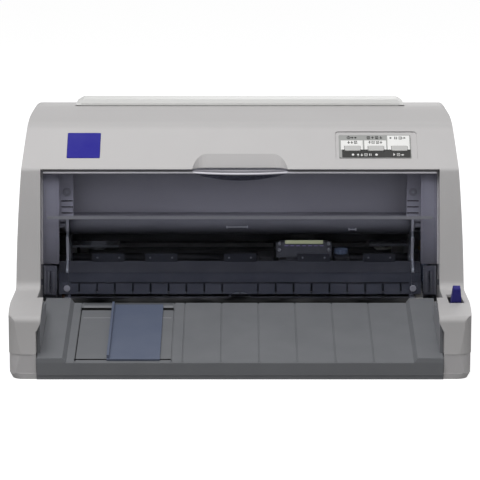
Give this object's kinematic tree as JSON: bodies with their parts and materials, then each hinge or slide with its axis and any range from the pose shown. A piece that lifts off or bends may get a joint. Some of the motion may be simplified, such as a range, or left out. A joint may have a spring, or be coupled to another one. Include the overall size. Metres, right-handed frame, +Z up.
{
  "type": "dot matrix printer",
  "caption": "Desktop flatbed dot matrix printer: grey moulded case, front paper tray with edge guide, hinged smoked front cover, tractor feed under a hinged rear cover.",
  "frame": {"origin": "on the desk, under the middle of the body", "axes": "+Z up; the front (paper tray) faces -Y; +X is to the right of someone who faces the printer"},
  "size_m": [0.3844, 0.28, 0.203],
  "materials": {
    "case_grey": "satin",
    "tray_grey": "satin",
    "cover_light_grey": "satin",
    "smoked_clear": "clear, smoked",
    "guide_blue_grey": "gloss",
    "dark_plastic": "satin",
    "black_plastic": "satin",
    "indigo_plastic": "gloss",
    "rubber": "matte",
    "bright_steel": "brushed",
    "zinc_steel": "satin",
    "natural_plastic": "satin",
    "blue_grey_plastic": "satin",
    "brass": "satin",
    "board_green": "satin",
    "head_casting": "cast",
    "label_yellow_green": "satin",
    "button_grey": "satin",
    "panel_plate": "gloss"
  },
  "bodies": {
    "case": {"lower_case": "case_grey", "upper_case": "case_grey", "front_tray": "tray_grey", "rubber_feet": "rubber", "case_screws": "zinc_steel", "badge_plate": "indigo_plastic", "control_panel": "panel_plate", "inner_panel": "dark_plastic", "cross_stay": "dark_plastic", "paper_guide": "dark_plastic", "left_side_frame": "bright_steel", "right_side_frame": "bright_steel", "platen": "rubber", "guide_shaft": "bright_steel", "guide_rail": "bright_steel", "timing_belt": "rubber", "carriage_motor": "zinc_steel", "feed_motor": "zinc_steel", "tractor_support_shaft": "bright_steel", "main_board": "board_green", "power_supply": "zinc_steel", "power_inlet": "black_plastic", "parallel_port": "zinc_steel"},
    "front_cover": {"front_cover": "smoked_clear"},
    "rear_cover": {"rear_cover": "cover_light_grey"},
    "release_lever": {"release_lever": "indigo_plastic"},
    "edge_guide": {"edge_guide": "guide_blue_grey"},
    "left_button": {"left_button": "button_grey"},
    "middle_button": {"middle_button": "button_grey"},
    "right_button": {"right_button": "button_grey"},
    "power_switch": {"power_switch": "black_plastic"},
    "carriage": {"carriage": "black_plastic", "print_head": "head_casting", "head_plate": "label_yellow_green", "head_screws": "bright_steel", "ribbon_cartridge": "black_plastic"},
    "ribbon_knob": {"ribbon_knob": "indigo_plastic"},
    "drive_pulley": {"drive_pulley": "bright_steel"},
    "idler_pulley": {"idler_pulley": "natural_plastic"},
    "front_feed": {"front_feed_roller": "rubber", "front_feed_gear": "natural_plastic"},
    "rear_feed": {"rear_feed_roller": "rubber", "rear_feed_gear": "natural_plastic"},
    "front_pinch": {"front_pinch_rollers": "button_grey"},
    "rear_pinch": {"rear_pinch_rollers": "button_grey"},
    "transfer_gear": {"transfer_gear": "natural_plastic"},
    "reduction_gear": {"reduction_gear": "blue_grey_plastic"},
    "motor_pinion": {"motor_pinion": "brass"},
    "tractor_idler_gear": {"tractor_idler_gear": "natural_plastic"},
    "tractor_drive": {"tractor_drive_shaft": "bright_steel", "tractor_gear": "natural_plastic"},
    "left_tractor": {"left_tractor": "dark_plastic"},
    "right_tractor": {"right_tractor": "dark_plastic"},
    "left_sprocket": {"left_sprocket": "natural_plastic"},
    "right_sprocket": {"right_sprocket": "natural_plastic"},
    "left_tractor_lid": {"left_tractor_lid": "black_plastic"},
    "right_tractor_lid": {"right_tractor_lid": "black_plastic"},
    "left_lock_lever": {"left_lock_lever": "indigo_plastic"},
    "right_lock_lever": {"right_lock_lever": "indigo_plastic"}
  },
  "joints": [
    {"name": "front_cover_hinge", "type": "hinge", "parent": "case", "child": "front_cover", "pos_m": [0, -0.0195, 0.057], "axis": [1, 0, 0], "range_deg": [0, 95]},
    {"name": "rear_cover_hinge", "type": "hinge", "parent": "case", "child": "rear_cover", "pos_m": [0, 0.119, 0.142], "axis": [-1, 0, 0], "range_deg": [0, 90]},
    {"name": "release_lever_pivot", "type": "hinge", "parent": "case", "child": "release_lever", "pos_m": [0.181, -0.065, 0.019], "axis": [1, 0, 0], "range_deg": [-40, 0]},
    {"name": "edge_guide_slide", "type": "slide", "parent": "case", "child": "edge_guide", "axis": [1, 0, 0], "range_m": [-0.025, 0.01]},
    {"name": "left_button_press", "type": "slide", "parent": "case", "child": "left_button", "axis": [0, 0.6579, -0.7531], "range_m": [0, 0.001], "stiffness_N_per_m": 400},
    {"name": "middle_button_press", "type": "slide", "parent": "case", "child": "middle_button", "axis": [0, 0.6579, -0.7531], "range_m": [0, 0.001], "stiffness_N_per_m": 400},
    {"name": "right_button_press", "type": "slide", "parent": "case", "child": "right_button", "axis": [0, 0.6579, -0.7531], "range_m": [0, 0.001], "stiffness_N_per_m": 400},
    {"name": "power_switch_rock", "type": "hinge", "parent": "case", "child": "power_switch", "pos_m": [-0.16, 0.1344, 0.062], "axis": [1, 0, 0], "range_deg": [0, 12]},
    {"name": "carriage_slide", "type": "slide", "parent": "case", "child": "carriage", "axis": [1, 0, 0], "range_m": [-0.158, 0.048]},
    {"name": "ribbon_knob_turn", "type": "hinge", "parent": "carriage", "child": "ribbon_knob", "pos_m": [0.0887, 0.031, 0.072], "axis": [0, 0, 1], "continuous": true},
    {"name": "drive_pulley_spin", "type": "hinge", "parent": "case", "child": "drive_pulley", "pos_m": [-0.128, 0.073, 0.066], "axis": [0, 0, 1], "continuous": true},
    {"name": "idler_pulley_spin", "type": "hinge", "parent": "case", "child": "idler_pulley", "pos_m": [0.128, 0.073, 0.066], "axis": [0, 0, 1], "continuous": true},
    {"name": "rear_feed_spin", "type": "hinge", "parent": "case", "child": "rear_feed", "pos_m": [0, 0.043, 0.033], "axis": [1, 0, 0], "continuous": true},
    {"name": "front_feed_spin", "type": "hinge", "parent": "case", "child": "front_feed", "pos_m": [0, 0.007, 0.033], "axis": [1, 0, 0], "continuous": true},
    {"name": "front_pinch_spin", "type": "hinge", "parent": "case", "child": "front_pinch", "pos_m": [0, 0.007, 0.0478], "axis": [1, 0, 0], "continuous": true},
    {"name": "rear_pinch_spin", "type": "hinge", "parent": "case", "child": "rear_pinch", "pos_m": [0, 0.043, 0.0478], "axis": [1, 0, 0], "continuous": true},
    {"name": "transfer_gear_spin", "type": "hinge", "parent": "case", "child": "transfer_gear", "pos_m": [0.1555, 0.025, 0.04608], "axis": [1, 0, 0], "continuous": true},
    {"name": "reduction_gear_spin", "type": "hinge", "parent": "case", "child": "reduction_gear", "pos_m": [0.1555, 0.04476, 0.05317], "axis": [1, 0, 0], "continuous": true},
    {"name": "motor_pinion_spin", "type": "hinge", "parent": "case", "child": "motor_pinion", "pos_m": [0.163, 0.06035, 0.07175], "axis": [1, 0, 0], "continuous": true},
    {"name": "tractor_idler_spin", "type": "hinge", "parent": "case", "child": "tractor_idler_gear", "pos_m": [0.1555, 0.0675, 0.02358], "axis": [1, 0, 0], "continuous": true},
    {"name": "tractor_drive_spin", "type": "hinge", "parent": "case", "child": "tractor_drive", "pos_m": [0, 0.092, 0.033], "axis": [1, 0, 0], "continuous": true},
    {"name": "left_tractor_slide", "type": "slide", "parent": "case", "child": "left_tractor", "axis": [1, 0, 0], "range_m": [-0.008, 0.03]},
    {"name": "left_sprocket_spin", "type": "hinge", "parent": "left_tractor", "child": "left_sprocket", "pos_m": [-0.1, 0.092, 0.033], "axis": [1, 0, 0], "continuous": true},
    {"name": "left_tractor_lid_hinge", "type": "hinge", "parent": "left_tractor", "child": "left_tractor_lid", "pos_m": [-0.1076, 0.101, 0.046], "axis": [0, -1, 0], "range_deg": [0, 100]},
    {"name": "left_lock_lever_turn", "type": "hinge", "parent": "left_tractor", "child": "left_lock_lever", "pos_m": [-0.0902, 0.112, 0.033], "axis": [1, 0, 0], "range_deg": [-50, 0]},
    {"name": "right_tractor_slide", "type": "slide", "parent": "case", "child": "right_tractor", "axis": [1, 0, 0], "range_m": [-0.03, 0.008]},
    {"name": "right_sprocket_spin", "type": "hinge", "parent": "right_tractor", "child": "right_sprocket", "pos_m": [0.1, 0.092, 0.033], "axis": [1, 0, 0], "continuous": true},
    {"name": "right_tractor_lid_hinge", "type": "hinge", "parent": "right_tractor", "child": "right_tractor_lid", "pos_m": [0.1076, 0.101, 0.046], "axis": [0, 1, 0], "range_deg": [0, 100]},
    {"name": "right_lock_lever_turn", "type": "hinge", "parent": "right_tractor", "child": "right_lock_lever", "pos_m": [0.0902, 0.112, 0.033], "axis": [1, 0, 0], "range_deg": [-50, 0]}
  ],
  "couplings": [
    {"joint": "front_feed_spin", "follows": "rear_feed_spin", "ratio": 1},
    {"joint": "transfer_gear_spin", "follows": "rear_feed_spin", "ratio": -1.2},
    {"joint": "reduction_gear_spin", "follows": "rear_feed_spin", "ratio": -1.5},
    {"joint": "motor_pinion_spin", "follows": "rear_feed_spin", "ratio": 4.5},
    {"joint": "tractor_idler_spin", "follows": "rear_feed_spin", "ratio": -0.85714},
    {"joint": "tractor_drive_spin", "follows": "rear_feed_spin", "ratio": 1},
    {"joint": "left_sprocket_spin", "follows": "rear_feed_spin", "ratio": 1},
    {"joint": "right_sprocket_spin", "follows": "rear_feed_spin", "ratio": 1},
    {"joint": "front_pinch_spin", "follows": "rear_feed_spin", "ratio": -1.6364},
    {"joint": "rear_pinch_spin", "follows": "rear_feed_spin", "ratio": -1.6364},
    {"joint": "drive_pulley_spin", "follows": "carriage_slide", "rad_per_m": 142.86},
    {"joint": "idler_pulley_spin", "follows": "carriage_slide", "rad_per_m": 142.86}
  ]
}
